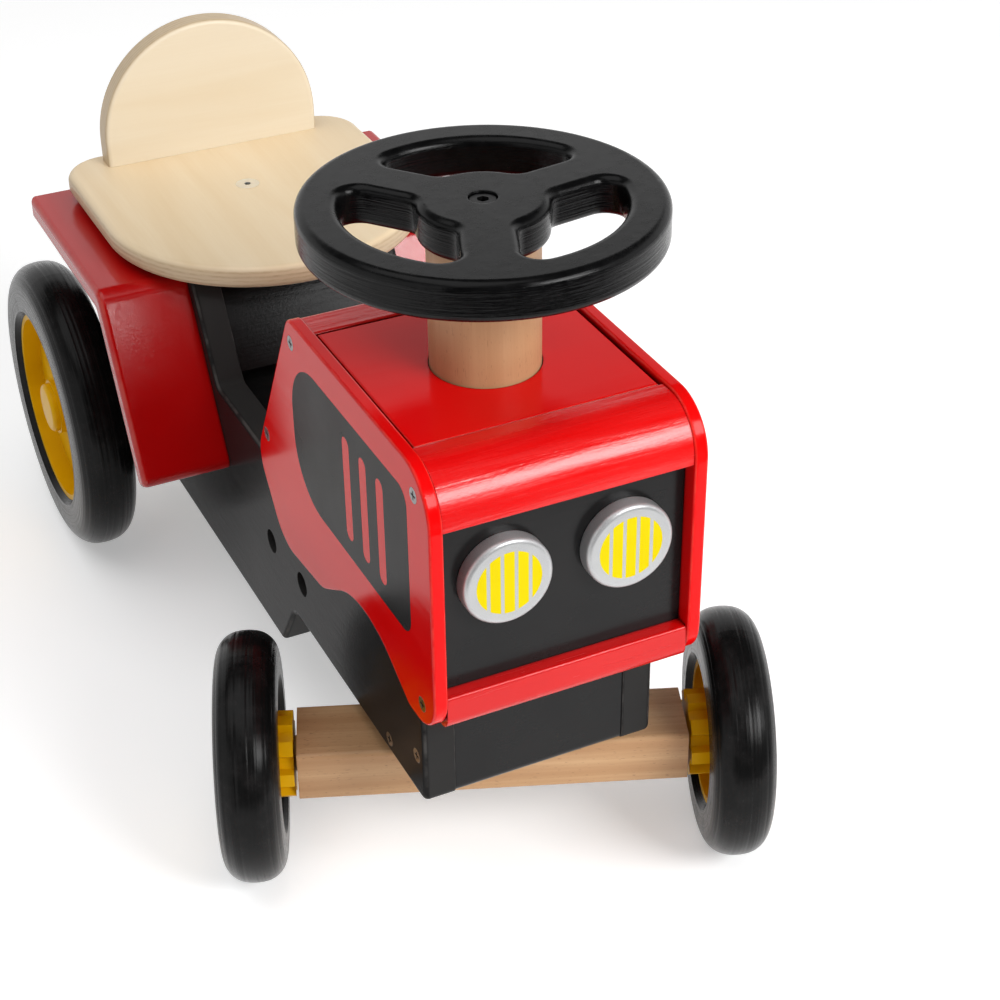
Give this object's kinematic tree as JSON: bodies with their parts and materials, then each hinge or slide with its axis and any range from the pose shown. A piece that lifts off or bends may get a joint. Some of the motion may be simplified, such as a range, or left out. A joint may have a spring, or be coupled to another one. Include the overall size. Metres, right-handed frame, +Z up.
{
  "type": "ride-on toy tractor",
  "caption": "Wooden ride-on toy tractor with a hood, headlights, plywood seat and backrest, steered by a wheel on a column that turns the front axle.",
  "frame": {"origin": "on the floor, under the middle of the whole tractor", "axes": "+Z up, the nose points along -Y, +X to the rider's left"},
  "size_m": [0.3278, 0.6476, 0.4095],
  "materials": {
    "red_paint": "gloss red paint on wood",
    "black_paint": "satin black paint on wood",
    "black_ply": "thick gloss black paint on plywood",
    "beech": "clear lacquered beech",
    "birch_ply": "clear lacquered birch plywood",
    "silver_paint": "silver paint on a wooden disc",
    "black_rubber": "smooth black rubber",
    "yellow_plastic": "moulded yellow plastic",
    "tan_plastic": "matt washer",
    "zinc_steel": "zinc plated",
    "black_steel": "black oxide"
  },
  "bodies": {
    "chassis": {"hood_side_right": "red_paint", "hood_side_left": "red_paint", "hood_top_panel": "red_paint", "hood_front_rail": "red_paint", "hood_rear_rail": "red_paint", "hood_back_panel": "red_paint", "hood_back_rail": "red_paint", "hood_low_rail": "red_paint", "mudguard_right": "red_paint", "mudguard_left": "red_paint", "chassis_side_right": "black_paint", "chassis_side_left": "black_paint", "front_plate": "black_paint", "lower_bearing_board": "black_paint", "upper_bearing_board": "black_paint", "seat_front_board": "black_paint", "seat_batten": "black_paint", "rear_plate": "black_paint", "rear_axle_block": "black_paint", "grille_panel": "black_paint", "seat_plate": "birch_ply", "seat_back": "birch_ply", "headlight_right": "silver_paint", "headlight_left": "silver_paint", "hood_screws": "zinc_steel", "chassis_screws": "zinc_steel", "mudguard_screws": "zinc_steel", "hood_fixing_screws": "zinc_steel", "headlight_screws": "zinc_steel", "seat_back_screws": "zinc_steel", "seat_bolt": "zinc_steel", "seat_insert": "zinc_steel", "rear_axle": "zinc_steel", "rear_axle_clips": "zinc_steel", "rear_spacers": "zinc_steel"},
    "steering": {"steering_wheel": "black_ply", "steering_wheel_bolt": "black_steel", "steering_dowels": "beech", "column_insert": "zinc_steel", "steering_column": "beech", "thrust_ring": "beech", "front_axle_beam": "beech", "front_axle": "zinc_steel", "front_spacers": "tan_plastic", "front_axle_clips": "zinc_steel", "beam_bolts": "zinc_steel"},
    "front_wheel_right": {"front_tyre_right": "black_rubber", "front_hub_right": "yellow_plastic", "front_hub_cap_right": "yellow_plastic"},
    "front_wheel_left": {"front_tyre_left": "black_rubber", "front_hub_left": "yellow_plastic", "front_hub_cap_left": "yellow_plastic"},
    "rear_wheel_right": {"rear_tyre_right": "black_rubber", "rear_hub_right": "yellow_plastic", "rear_hub_cap_right": "yellow_plastic"},
    "rear_wheel_left": {"rear_tyre_left": "black_rubber", "rear_hub_left": "yellow_plastic", "rear_hub_cap_left": "yellow_plastic"}
  },
  "joints": [
    {"name": "steer", "type": "hinge", "parent": "chassis", "child": "steering", "pos_m": [0, -0.20615, 0.1], "axis": [0, 0, 1], "range_deg": [-6.4, 49.6]},
    {"name": "front_right_spin", "type": "hinge", "parent": "steering", "child": "front_wheel_right", "pos_m": [-0.12589, -0.1563, 0.071], "axis": [0.9298, -0.3681, 0], "continuous": true},
    {"name": "rear_right_spin", "type": "hinge", "parent": "chassis", "child": "rear_wheel_right", "pos_m": [-0.119, 0.22385, 0.1], "axis": [1, 0, 0], "continuous": true},
    {"name": "front_left_spin", "type": "hinge", "parent": "steering", "child": "front_wheel_left", "pos_m": [0.12589, -0.25599, 0.071], "axis": [0.9298, -0.3681, 0], "continuous": true},
    {"name": "rear_left_spin", "type": "hinge", "parent": "chassis", "child": "rear_wheel_left", "pos_m": [0.119, 0.22385, 0.1], "axis": [1, 0, 0], "continuous": true}
  ]
}
